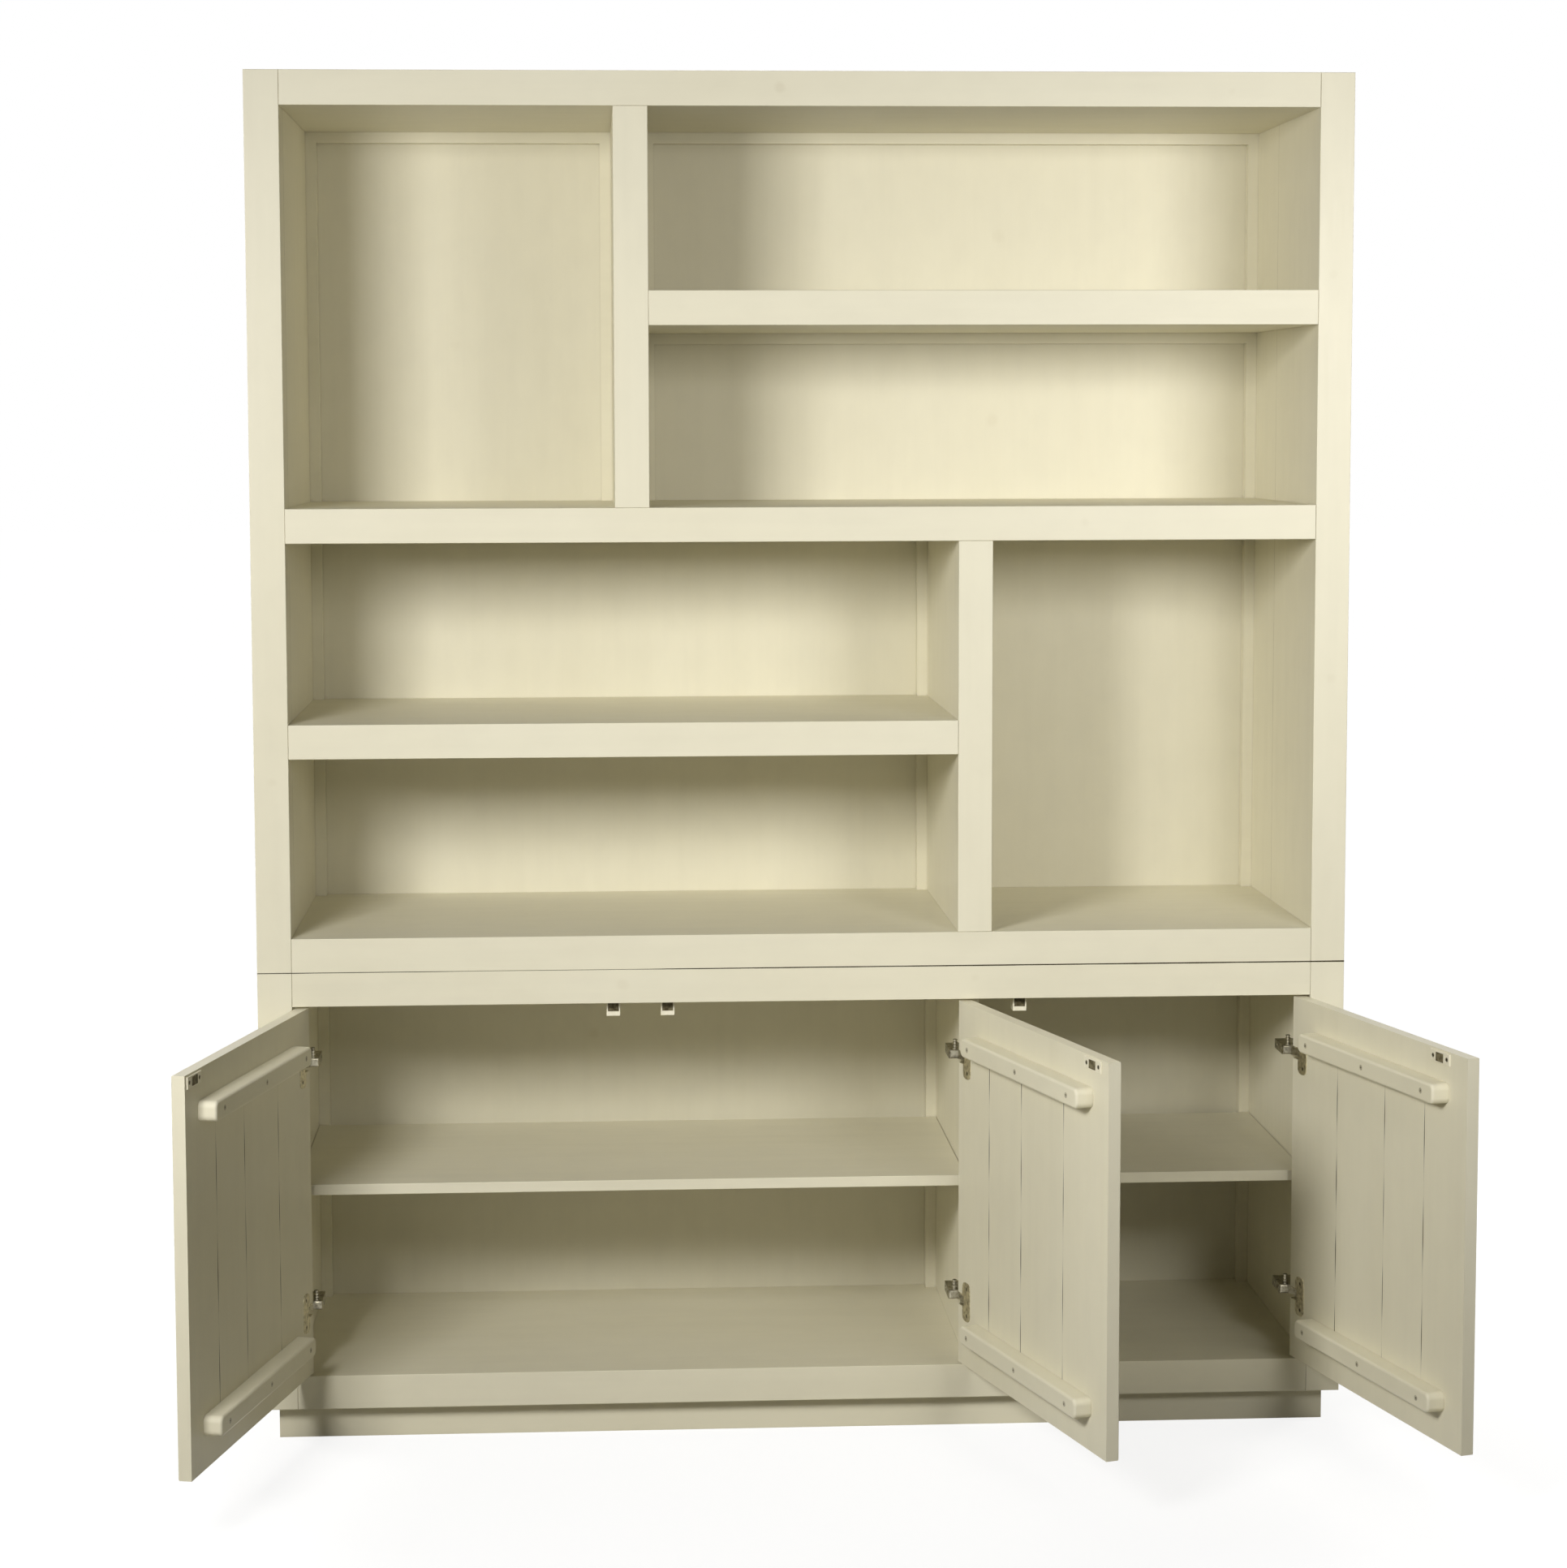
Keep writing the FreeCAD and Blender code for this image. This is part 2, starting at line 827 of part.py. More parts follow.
def hinge_cup(door, z):
    """The door's half of a hinge: a flange on the inner face and two lugs in the pocket."""
    body = new_body(f"{door.name}_cup")
    flange = add_block(
        body,
        door.across(size.flange_start, size.flange_width),
        inner_face,
        z - size.flange_height / 2,
        size.flange_width,
        size.flange_thickness,
        size.flange_height,
    )
    round_corners(body, flange, size.flange_corner)
    notch = size.flange_notch + size.overrun
    add_block(
        body,
        door.across(size.flange_start - size.overrun, notch),
        inner_face - size.overrun,
        z - lug_inside,
        notch,
        size.flange_thickness + 2 * size.overrun,
        2 * lug_inside,
        "Subtractive",
    )
    for low in (z - lug_outside, z + lug_inside):
        add_block(
            body,
            door.across(0, size.lug_reach),
            -size.knuckle_radius,
            low,
            size.lug_reach,
            inner_face + size.flange_thickness + size.knuckle_radius,
            size.lug,
        )
        add_round(body, "+z", 0, 0, low, size.knuckle_radius, size.lug)
    add_round(
        body, "+z", 0, 0, z - lug_outside, size.pin_radius + size.pin_play, 2 * lug_outside, "Subtractive"
    )
    return body


def hinge_cups(door, made):
    pieces = []
    screws = []
    screw_x = door.side * (size.flange_start + (size.flange_width + size.flange_notch) / 2)
    for z in hinge_lines:
        body = hinge_cup(door, z)
        pieces.append(body)
        pieces.append(free_round("+z", (0, 0, z - lug_outside), size.pin_radius, 2 * lug_outside))
        for step in (-size.flange_screw_spread / 2, size.flange_screw_spread / 2):
            head = (screw_x, inner_face + size.flange_thickness, z + step)
            screws.append(drive(small_screw, "-y", head, body, (made[0][0],)))
    nodes.append(group(f"{door.name}_hinge_cups", pieces, door.settle))
    return screws


def catch_plate(door, made):
    """A plate near the top of the free edge, with the steel strike that the catch holds."""
    middle = door_width - size.pin_inset - door.catch
    plate_low = door_top - size.catch_plate_drop - size.catch_plate_height
    body = new_body(f"{door.name}_catch_plate")
    block = add_block(
        body,
        door.across(middle - size.catch_plate_width / 2, size.catch_plate_width),
        inner_face,
        plate_low,
        size.catch_plate_width,
        size.catch_plate_thickness,
        size.catch_plate_height,
    )
    bevel_face(body, block, "back", size.catch_plate_thickness / 4)
    strike = new_body(f"{door.name}_catch_strike")
    strike_block = add_block(
        strike,
        door.across(middle - size.strike_width / 2, size.strike_width),
        inner_face + size.catch_plate_thickness,
        plate_low + (size.catch_plate_height - size.strike_height) / 2,
        size.strike_width,
        size.strike_thickness,
        size.strike_height,
    )
    bevel_face(strike, strike_block, "back", size.strike_thickness / 4)
    screws = []
    plate_face = inner_face + size.catch_plate_thickness
    for step in (-size.catch_plate_screw_spread / 2, size.catch_plate_screw_spread / 2):
        place = middle + step
        head = (door.side * place, plate_face, plate_low + size.catch_plate_height / 2)
        screws.append(drive(small_screw, "-y", head, body, planks_at(made, place, size.screw_radius)))
    door.settle(body)
    door.settle(strike)
    nodes.extend((body, strike))
    return screws


def hinge_arm(door, z):
    """The cabinet's half of a hinge: knuckle, slanted strap, arm, foot and wall plate."""
    body = new_body(f"{door.name}_arm")
    pin_y = size.pin_inset
    arm_low = z - size.knuckle_height / 2

    def block(start, y, low, length, width, height):
        x = door.pin_x + door.across(start, length)
        return add_block(body, x, pin_y + y, low, length, width, height)

    arm = block(size.arm_start, size.arm_front, arm_low, size.arm_width, size.arm_length, size.knuckle_height)
    round_face(body, arm, "front", size.arm_round)
    foot_depth = size.arm_front + size.arm_length - size.foot_front
    block(door.wall, size.foot_front, arm_low, size.arm_start - door.wall, foot_depth, size.knuckle_height)
    plate_y = size.foot_front + (foot_depth - size.wall_plate_width) / 2
    block(
        door.wall,
        plate_y,
        z - size.wall_plate_height / 2,
        size.wall_plate_thickness,
        size.wall_plate_width,
        size.wall_plate_height,
    )
    strap = body.newObject("PartDesign::AdditiveBox", f"{body.Name}_strap")
    reach = (size.arm_front + size.strap_thickness) / sine(size.strap_slant)
    bind(strap, Length=reach, Width=size.strap_thickness, Height=size.knuckle_height)
    turn = size.strap_slant if door.side > 0 else 180 - size.strap_slant
    bind(strap, **{".Placement.Rotation.Angle": turn})
    half = size.strap_thickness / 2
    put(strap, door.pin_x + half * sine(turn), pin_y - half * cosine(turn), arm_low)
    add_round(body, "+z", door.pin_x, pin_y, arm_low, size.knuckle_radius, size.knuckle_height)
    add_round(
        body,
        "+z",
        door.pin_x,
        pin_y,
        arm_low,
        size.pin_radius + size.pin_play,
        size.knuckle_height,
        "Subtractive",
    )
    face = door.pin_x + door.side * (door.wall + size.wall_plate_thickness)
    for step in (-size.wall_plate_screw_spread / 2, size.wall_plate_screw_spread / 2):
        head = (face, pin_y + plate_y + size.wall_plate_width / 2, z + step)
        cabinet_screws.append(drive(small_screw, door.outward, head, body, (door.wall_body,)))
    hinge_arms.append(body)


catch_housings = []
catch_magnets = []


def catch(door):
    """A bracket under the base top that holds the magnet against the door's strike."""
    free_edge = door.pin_x + door.side * (door_width - size.pin_inset)
    left = free_edge - door.side * door.catch - size.housing_width / 2
    front = size.door_thickness + size.catch_plate_thickness + size.strike_thickness + size.catch_clearance
    low = base_roof - size.housing_height
    body = new_body(f"{door.name}_catch")
    shell = add_block(body, left, front, low, size.housing_width, size.housing_depth, size.housing_height)
    round_face(body, shell, "front", size.housing_sheet / 4)
    hollow_height = size.housing_height - size.housing_bottom - size.housing_sheet
    hollow_width = size.housing_width - 2 * size.housing_sheet
    add_block(
        body,
        left + size.housing_sheet,
        front - size.overrun,
        low + size.housing_bottom,
        hollow_width,
        size.housing_depth + 2 * size.overrun,
        hollow_height,
        "Subtractive",
    )
    tail_front = front + size.housing_depth
    add_block(
        body,
        left,
        tail_front,
        base_roof - size.housing_sheet,
        size.housing_width,
        size.housing_tail,
        size.housing_sheet,
    )
    tail_middle = tail_front + size.housing_tail / 2
    for step in (-size.housing_screw_spread / 2, size.housing_screw_spread / 2):
        head = (left + size.housing_width / 2 + step, tail_middle, base_roof - size.housing_sheet)
        cabinet_screws.append(drive(small_screw, "+z", head, body, (base_top,)))
    catch_housings.append(body)
    magnet = new_body(f"{door.name}_magnet")
    play = size.magnet_play
    magnet_block = add_block(
        magnet,
        left + size.housing_sheet + play,
        front + size.magnet_setback,
        low + size.housing_bottom,
        hollow_width - 2 * play,
        size.housing_depth - 2 * size.magnet_setback,
        hollow_height - play,
    )
    bevel_face(magnet, magnet_block, "front", size.housing_sheet / 4)
    catch_magnets.append(magnet)


for door in doors:
    made = planks(door)
    nodes.extend(body for body, start, end in made)
    screws = battens(door, made) + hinge_cups(door, made) + catch_plate(door, made)
    nodes.append(group(f"{door.name}_screws", screws, door.settle))
    for z in hinge_lines:
        hinge_arm(door, z)
    catch(door)

nodes.append(group("hinge_arms", hinge_arms))
nodes.append(group("catch_housings", catch_housings))
nodes.append(group("catch_magnets", catch_magnets))
nodes.append(group("cabinet_screws", cabinet_screws))
nodes.extend((hutch_left, hutch_right, hutch_top, hutch_bottom, middle_shelf, upper_divider, lower_divider))
nodes.extend((upper_shelf, lower_shelf, hutch_back, base_left, base_right, base_top, base_bottom, partition))
nodes.extend((base_left_shelf, base_right_shelf, base_back, plinth_front, plinth_back, plinth_brace))

doc.recompute()
for thing in doc.Objects:
    if "Invalid" in thing.State or "Error" in thing.State:
        raise RuntimeError(f"{thing.Name} ({thing.Label}) did not rebuild")
for node in nodes:
    if node.Shape.isNull() or not node.Shape.isValid():
        raise RuntimeError(f"{node.Label} has no sound shape")

os.makedirs("parts", exist_ok=True)
for node in nodes:
    node.Shape.exportStep(f"parts/{node.Label}.step")
    print(node.Label, len(node.Shape.Solids), "solids")
print(len(nodes), "nodes")
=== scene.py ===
import json
import math

import bpy
from mathutils import Matrix, Vector


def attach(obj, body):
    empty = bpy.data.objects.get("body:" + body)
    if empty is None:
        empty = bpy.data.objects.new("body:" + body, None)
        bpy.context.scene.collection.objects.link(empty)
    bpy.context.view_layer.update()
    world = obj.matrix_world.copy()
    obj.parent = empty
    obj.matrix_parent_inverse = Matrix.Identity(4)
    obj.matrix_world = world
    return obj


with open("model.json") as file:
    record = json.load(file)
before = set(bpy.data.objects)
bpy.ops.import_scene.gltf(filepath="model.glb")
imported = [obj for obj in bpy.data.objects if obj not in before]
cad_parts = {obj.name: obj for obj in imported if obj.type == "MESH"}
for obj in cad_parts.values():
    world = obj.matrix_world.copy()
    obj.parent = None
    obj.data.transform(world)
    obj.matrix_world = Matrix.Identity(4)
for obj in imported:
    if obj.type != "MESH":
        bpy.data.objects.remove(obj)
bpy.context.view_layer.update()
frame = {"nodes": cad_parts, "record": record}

MM = 0.001

# The photograph's frame and the lens that fits it
PHOTO_WIDTH = 1931
FOCAL_PIXELS = 3929.8
AXIS_PIXEL_X = 931.6
AXIS_PIXEL_Y = 853.3
CENTRE_PIXEL_X = 965.5
CENTRE_PIXEL_Y = 966.0
SENSOR_MM = 36.0
CAMERA_PLACE = (-0.3148, -4.8499, 1.4982)
CAMERA_YAW = 3.0101
CAMERA_PITCH = 4.8457
CAMERA_ROLL = -0.159


def make_camera():
    """The camera at the photograph's viewing angle."""
    data = bpy.data.cameras.new("camera")
    data.sensor_width = SENSOR_MM
    data.lens = FOCAL_PIXELS / PHOTO_WIDTH * SENSOR_MM
    data.shift_x = (CENTRE_PIXEL_X - AXIS_PIXEL_X) / PHOTO_WIDTH
    data.shift_y = (AXIS_PIXEL_Y - CENTRE_PIXEL_Y) / PHOTO_WIDTH
    camera = bpy.data.objects.new("camera", data)
    bpy.context.scene.collection.objects.link(camera)
    turn = Matrix.Rotation(math.radians(-CAMERA_YAW), 4, "Z")
    tilt = Matrix.Rotation(math.radians(90 - CAMERA_PITCH), 4, "X")
    roll = Matrix.Rotation(math.radians(CAMERA_ROLL), 4, "Z")
    camera.matrix_world = Matrix.Translation(CAMERA_PLACE) @ turn @ tilt @ roll
    bpy.context.scene.camera = camera


class Nodes:
    """The node tree of a material or the world, with short calls to add and join nodes."""

    def __init__(self, owner):
        owner.use_nodes = True
        self.tree = owner.node_tree
        self.tree.nodes.clear()

    def add(self, kind, inputs=None, **settings):
        node = self.tree.nodes.new(kind)
        for name, value in settings.items():
            setattr(node, name, value)
        for name, value in (inputs or {}).items():
            if isinstance(value, bpy.types.NodeSocket):
                self.tree.links.new(value, node.inputs[name])
            else:
                node.inputs[name].default_value = value
        return node

    def maths(self, operation, first, second=0.0):
        return self.add("ShaderNodeMath", {0: first, 1: second}, operation=operation).outputs[0]

    def mix(self, factor, first, second, blend="MIX"):
        """A mix of two colours."""
        node = self.add("ShaderNodeMix", data_type="RGBA", blend_type=blend)
        for socket, value in ((0, factor), (6, first), (7, second)):
            if isinstance(value, bpy.types.NodeSocket):
                self.tree.links.new(value, node.inputs[socket])
            else:
                node.inputs[socket].default_value = value
        return node.outputs[2]

    def spread(self, value, low, high, to_low=0.0, to_high=1.0):
        """The value, stretched from one range to another and held within it."""
        node = self.add(
            "ShaderNodeMapRange",
            {"Value": value, "From Min": low, "From Max": high, "To Min": to_low, "To Max": to_high},
            clamp=True,
        )
        return node.outputs[0]

    def place(self, scale, offset=(0, 0, 0)):
        """Object coordinates, stretched and moved."""
        coords = self.add("ShaderNodeTexCoord")
        mapping = self.add(
            "ShaderNodeMapping", {"Vector": coords.outputs["Object"], "Scale": scale, "Location": offset}
        )
        return mapping.outputs[0]

    def noise(self, scale, size, detail=2.0, roughness=0.5, offset=(0, 0, 0)):
        node = self.add(
            "ShaderNodeTexNoise",
            {"Vector": self.place(scale, offset), "Scale": size, "Detail": detail, "Roughness": roughness},
        )
        return node.outputs["Fac"]

    def bump(self, height, strength, distance):
        node = self.add("ShaderNodeBump", {"Height": height, "Strength": strength, "Distance": distance})
        return node.outputs[0]

    def shown_rays(self):
        """1 for the rays that show the white surround: seen directly, mirrored or through glass."""
        path = self.add("ShaderNodeLightPath")
        shown = self.maths("MAXIMUM", path.outputs["Is Camera Ray"], path.outputs["Is Glossy Ray"])
        return self.maths("MAXIMUM", shown, path.outputs["Is Transmission Ray"])

    def principled(self, inputs):
        """Ends the material in the usual shader."""
        self.finish(self.add("ShaderNodeBsdfPrincipled", inputs).outputs[0])

    def finish(self, surface):
        self.add("ShaderNodeOutputMaterial", {"Surface": surface})


def colour(red, green, blue):
    return (red, green, blue, 1.0)


# The two tones that the paint drifts between
CREAM_WARM = colour(0.785, 0.747, 0.589)
CREAM_PALE = colour(0.81, 0.775, 0.622)
KNOT = colour(0.50, 0.43, 0.28)
# Painted shade: the colour the paint darkens to in its inside corners and joints, and how far that darkening
# reaches
CORNER_SHADE = colour(0.42, 0.36, 0.24)
CORNER_REACH = 0.006
PAINT_SPECULAR = 0.18

# How fine the marks in the paint are, across the board and along it
DRIFT = (4.5, 1.6)
GRAIN = (46.0, 1.9)
STROKES = (420.0, 7.0)
FLECKS = (26.0, 17.0)


def grain_scale(axis, across, along):
    """A stretch that runs with the board."""
    return tuple(along if name == axis else across for name in "xyz")


def painted_wood(name, axis, offset, knots=(), shade_tone=1.0):
    """Satin cream paint brushed along solid pine, whose grain and knots show faintly through it. Its inside
    corners are darkened as a painted shade, and the tone factor darkens it all as a painted shade on the back
    panels.
    """
    material = bpy.data.materials.new(name)
    nodes = Nodes(material)
    shift = (offset, offset * 1.7, offset * 0.6)
    drift = nodes.noise(grain_scale(axis, *DRIFT), 1.0, 4.0, 0.6, shift)
    base = nodes.mix(nodes.spread(drift, 0.32, 0.68), CREAM_WARM, CREAM_PALE)
    grain = nodes.noise(grain_scale(axis, *GRAIN), 1.0, 5.0, 0.6, shift)
    strokes = nodes.noise(grain_scale(axis, *STROKES), 1.0, 3.0, 0.5, shift)
    flecks = nodes.noise(grain_scale(axis, *FLECKS), 1.0, 3.0, 0.55, shift)
    # Painted shade: the tone factor darkens the streaked paint of the back panels
    streaks = nodes.spread(grain, 0.3, 0.6, 0.972 * shade_tone, 0.992 * shade_tone)
    shade = nodes.maths("ADD", streaks, nodes.spread(flecks, 0.3, 0.6, -0.012, 0.008))
    grey = nodes.add("ShaderNodeCombineColor", {0: shade, 1: shade, 2: shade})
    base = nodes.mix(1.0, base, grey.outputs[0], "MULTIPLY")
    coords = nodes.add("ShaderNodeTexCoord")
    for x, z, radius, depth in knots:
        middle = nodes.add("ShaderNodeSeparateXYZ", {0: coords.outputs["Object"]})
        flat = nodes.add("ShaderNodeCombineXYZ", {"X": middle.outputs["X"], "Z": middle.outputs["Z"]})
        reach = nodes.add("ShaderNodeVectorMath", {0: flat.outputs[0], 1: (x, 0.0, z)}, operation="DISTANCE")
        edge = nodes.spread(flecks, 0.3, 0.7, -0.25 * radius, 0.25 * radius)
        ragged = nodes.maths("ADD", reach.outputs["Value"], edge)
        spot = nodes.spread(ragged, 0.35 * radius, radius, depth, 0.0)
        base = nodes.mix(spot, base, KNOT)
    # Painted shade: ambient occlusion darkens the paint in inside corners and joints, where shade falls
    gather = nodes.add("ShaderNodeAmbientOcclusion", {"Distance": CORNER_REACH}, samples=4, only_local=False)
    corner = nodes.spread(gather.outputs["AO"], 0.25, 0.75, 1.0, 0.0)
    base = nodes.mix(nodes.maths("MULTIPLY", corner, 0.35), base, CORNER_SHADE)
    height = nodes.maths("ADD", nodes.maths("MULTIPLY", grain, 0.45), nodes.maths("MULTIPLY", strokes, 0.16))
    height = nodes.maths("ADD", height, nodes.maths("MULTIPLY", flecks, 0.4))
    rough = nodes.spread(nodes.maths("ADD", strokes, drift), 0.7, 1.3, 0.33, 0.47)
    nodes.principled(
        {
            "Base Color": base,
            "Roughness": rough,
            "Normal": nodes.bump(height, 0.1, 1.0 * MM),
            "Specular IOR Level": PAINT_SPECULAR,
        }
    )
    return material


# The battens' screws were painted with the doors: their heights, and how far from each is still theirs
PAINTED_HEIGHTS = ((0.163, 0.008), (0.590, 0.004))
PAINTED_SCREW = colour(0.52, 0.48, 0.35)


def bare_wood():
    """Turned beech for the dowels."""
    material = bpy.data.materials.new("bare_wood")
    nodes = Nodes(material)
    grain = nodes.noise((220.0, 220.0, 220.0), 1.0, 5.0, 0.6)
    base = nodes.mix(nodes.spread(grain, 0.3, 0.7), colour(0.55, 0.36, 0.19), colour(0.72, 0.53, 0.32))
    nodes.principled({"Base Color": base, "Roughness": 0.65, "Normal": nodes.bump(grain, 0.3, 0.5 * MM)})
    return material


def plated_steel(name, tint, dark, rough_low, rough_high, wear, painted=()):
    """Nickel or zinc plate: fine rolling lines, dull patches, small pits, and paint over some heights."""
    material = bpy.data.materials.new(name)
    nodes = Nodes(material)
    lines = nodes.noise((60.0, 60.0, 2600.0), 1.0, 3.0, 0.6)
    patches = nodes.noise((140.0, 140.0, 140.0), 1.0, 4.0, 0.6)
    pits = nodes.noise((900.0, 900.0, 900.0), 1.0, 2.0, 0.5)
    stain = nodes.spread(patches, 0.42, 0.7, 0.0, wear)
    base = nodes.mix(stain, tint, dark)
    rough = nodes.spread(nodes.maths("ADD", lines, patches), 0.6, 1.4, rough_low, rough_high)
    height = nodes.maths("ADD", nodes.maths("MULTIPLY", lines, 0.4), nodes.maths("MULTIPLY", pits, 0.6))
    metal = 1.0
    for middle, reach in painted:
        spot = nodes.add("ShaderNodeSeparateXYZ", {0: nodes.add("ShaderNodeTexCoord").outputs["Object"]})
        away = nodes.maths("ABSOLUTE", nodes.maths("SUBTRACT", spot.outputs["Z"], middle))
        bare = nodes.maths("GREATER_THAN", away, reach)
        thin = nodes.maths("MAXIMUM", bare, nodes.spread(patches, 0.5, 0.62, 0.0, 0.6))
        base = nodes.mix(thin, PAINTED_SCREW, base)
        metal = nodes.maths("MULTIPLY", metal, bare)
    nodes.principled(
        {
            "Base Color": base,
            "Metallic": metal,
            "Roughness": rough,
            "Normal": nodes.bump(height, 0.12, 0.3 * MM),
        }
    )
    return material


def moulded_plastic():
    """The cream plastic of the catches, finely stippled by its mould."""
    material = bpy.data.materials.new("catch_plastic")
    nodes = Nodes(material)
    cloud = nodes.noise((260.0, 260.0, 260.0), 1.0, 3.0, 0.5)
    stipple = nodes.noise((2400.0, 2400.0, 2400.0), 1.0, 1.0, 0.5)
    base = nodes.mix(nodes.spread(cloud, 0.3, 0.7), colour(0.80, 0.76, 0.60), colour(0.86, 0.82, 0.68))
    nodes.principled({"Base Color": base, "Roughness": 0.38, "Normal": nodes.bump(stipple, 0.1, 0.2 * MM)})
    return material


def dark_iron():
    """The magnets and their strikes, dull and patchy."""
    material = bpy.data.materials.new("dark_iron")
    nodes = Nodes(material)
    speckle = nodes.noise((700.0, 700.0, 700.0), 1.0, 4.0, 0.6)
    patches = nodes.noise((120.0, 120.0, 120.0), 1.0, 3.0, 0.6)
    base = nodes.mix(nodes.spread(patches, 0.4, 0.62), colour(0.065, 0.052, 0.024), colour(0.20, 0.175, 0.105))
    nodes.principled(
        {
            "Base Color": base,
            "Roughness": nodes.spread(speckle, 0.3, 0.7, 0.45, 0.7),
            "Normal": nodes.bump(speckle, 0.2, 0.3 * MM),
            "Specular IOR Level": 0.15,
        }
    )
    return material


def gap_shadow(name, lift):
    """What shows in a narrow gap: raw edges and old paint in deep shade, made paler by lift."""
    material = bpy.data.materials.new(name)
    nodes = Nodes(material)
    speckle = nodes.noise((400.0, 400.0, 60.0), 1.0, 3.0, 0.6)
    dark = colour(0.035 * lift, 0.030 * lift, 0.018 * lift)
    light = colour(0.10 * lift, 0.085 * lift, 0.050 * lift)
    base = nodes.mix(nodes.spread(speckle, 0.3, 0.7), dark, light)
    nodes.principled({"Base Color": base, "Roughness": 0.9, "Specular IOR Level": 0.1})
    return material


def add_piece(name, vertices, faces, material, body):
    """A mesh piece that rides on a body and takes its finish from a slot."""
    mesh = bpy.data.meshes.new(name)
    mesh.from_pydata([tuple(vertex) for vertex in vertices], [], faces)
    mesh.update()
    piece = bpy.data.objects.new(name, mesh)
    bpy.context.scene.collection.objects.link(piece)
    mesh.materials.append(material)
    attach(piece, body)
    return piece


# How far a mark stands off its surface
RISE = 0.05 * MM
# A screw's cross narrows from its middle to its tips by this
TIP_SHARE = 0.6
TURNED_SIDES = 20


class Bundle:
    """Many small strips and marks gathered into one piece."""

    def __init__(self):
        self.vertices = []
        self.faces = []

    def sliver(self, start, along, across, normal, stations):
        """A low ridge that widens and narrows: stations are (distance, half width) in metres."""
        first = len(self.vertices)
        for distance, half in stations:
            centre = start + along * distance
            crest = min(half * 0.3, RISE)
            self.vertices.extend(
                (centre - across * half, centre + normal * (RISE + crest), centre + across * half)
            )
        for step in range(len(stations) - 1):
            low = first + 3 * step
            high = low + 3
            self.faces.append((low, low + 1, high + 1, high))
            self.faces.append((low + 1, low + 2, high + 2, high + 1))

    def recess(self, centre, up, across, normal, radius, width):
        """The cross that a driver turns, as four narrow wedges round a small centre."""
        first = len(self.vertices)
        half = width / 2
        tip = half * TIP_SHARE
        corners = [(half, half), (-half, half), (-half, -half), (half, -half)]
        tips = [(radius, tip), (radius, -tip), (tip, radius), (-tip, radius)]
        tips += [(-radius, tip), (-radius, -tip), (tip, -radius), (-tip, -radius)]
        for a, b in corners + tips:
            self.vertices.append(centre + across * a + up * b + normal * RISE)
        for face in ((0, 1, 2, 3), (0, 3, 5, 4), (1, 0, 6, 7), (2, 1, 8, 9), (3, 2, 11, 10)):
            self.faces.append(tuple(first + corner for corner in face))

    def turned(self, centre, up, across, normal, rings):
        """A turned shape along the normal: rings are (radius, distance) in metres, closed at the end."""
        first = len(self.vertices)
        for radius, lift in rings:
            for step in range(TURNED_SIDES):
                angle = 2 * math.pi * step / TURNED_SIDES
                spoke = across * math.cos(angle) + up * math.sin(angle)
                self.vertices.append(centre + spoke * radius + normal * lift)
        for ring in range(len(rings) - 1):
            for step in range(TURNED_SIDES):
                a = first + ring * TURNED_SIDES + step
                b = first + ring * TURNED_SIDES + (step + 1) % TURNED_SIDES
                self.faces.append((a, b, b + TURNED_SIDES, a + TURNED_SIDES))
        last = first + (len(rings) - 1) * TURNED_SIDES
        self.faces.append(tuple(range(last, last + TURNED_SIDES)))

    def make(self, name, material, body):
        return add_piece(name, self.vertices, self.faces, material, body)


# The waves of a hand-made line: their share, how fast they run and how the seed shifts them
WAVES = ((0.5, 23.0, 2.1), (0.3, 61.0, 4.7), (0.2, 137.0, 1.3))


def waver(seed, distance):
    """A smooth wander between -1 and 1 along a length, the same on every run."""
    return sum(share * math.sin(distance * rate + seed * shift) for share, rate, shift in WAVES)


class HungDoor:
    """Turns a door's own places (from its hinge pin, closed) into places in the room."""

    def __init__(self, joint, side):
        angle = math.radians(-joint["range_deg"][0])
        cos, sin = math.cos(angle), math.sin(angle)
        self.pin_x, self.pin_y = joint["pos_m"][:2]
        self.side = side
        self.across = Vector((side * cos, -sin, 0.0))
        self.inward = Vector((side * sin, cos, 0.0))

    def place(self, u, v, z):
        """The place u from the pin along the door, v through it and z above the floor."""
        return Vector((self.pin_x, self.pin_y, z)) + self.across * u + self.inward * v


UP = Vector((0.0, 0.0, 1.0))
RIGHT = Vector((1.0, 0.0, 0.0))
FRONT = Vector((0.0, -1.0, 0.0))
BACK = Vector((0.0, 1.0, 0.0))

# Places on a door, in metres from its hinge pin, and heights from the floor
DOOR_INNER_FACE = 0.013
BATTEN_FACE = 0.039
BATTEN_HEIGHTS = (0.163, 0.590)
BATTEN_SCREWS = (0.081, 0.2465, 0.412)
HINGE_HEIGHTS = (0.200, 0.5635)
FLANGE_FACE = 0.0145
FLANGE_SCREW = 0.027
FLANGE_SCREW_RISE = 0.020
CATCH_FACE = 0.015
CATCH_HEIGHT = 0.636
CATCH_SCREW_STEP = 0.018

# Seams between the planks. The paint bridges them beyond the battens, so they open only between these
SEAM_REACH = (0.177, 0.576)
SEAM_PITCH = 0.006
SEAM_SWELL = 2.2
CLOSED_SEAM = 0.012 * MM
WIDE_FIRST_SEAMS = (0.132, 0.270, 0.380)
WIDE_LAST_SEAMS = (0.104, 0.214, 0.352)

# The cabinet's half of a hinge, in metres from its pin: back from the door and out from the wall
WALL_PLATE = 0.0025
WALL_SCREW_BACK = 0.0515
WALL_SCREW_RISE = 0.018
ARM_FACE = 0.027
ARM_SCREWS_BACK = (0.028, 0.056)
ARM_HALF_HEIGHT = 0.007
POST_BACK = 0.0225
POST_OUT = 0.0175

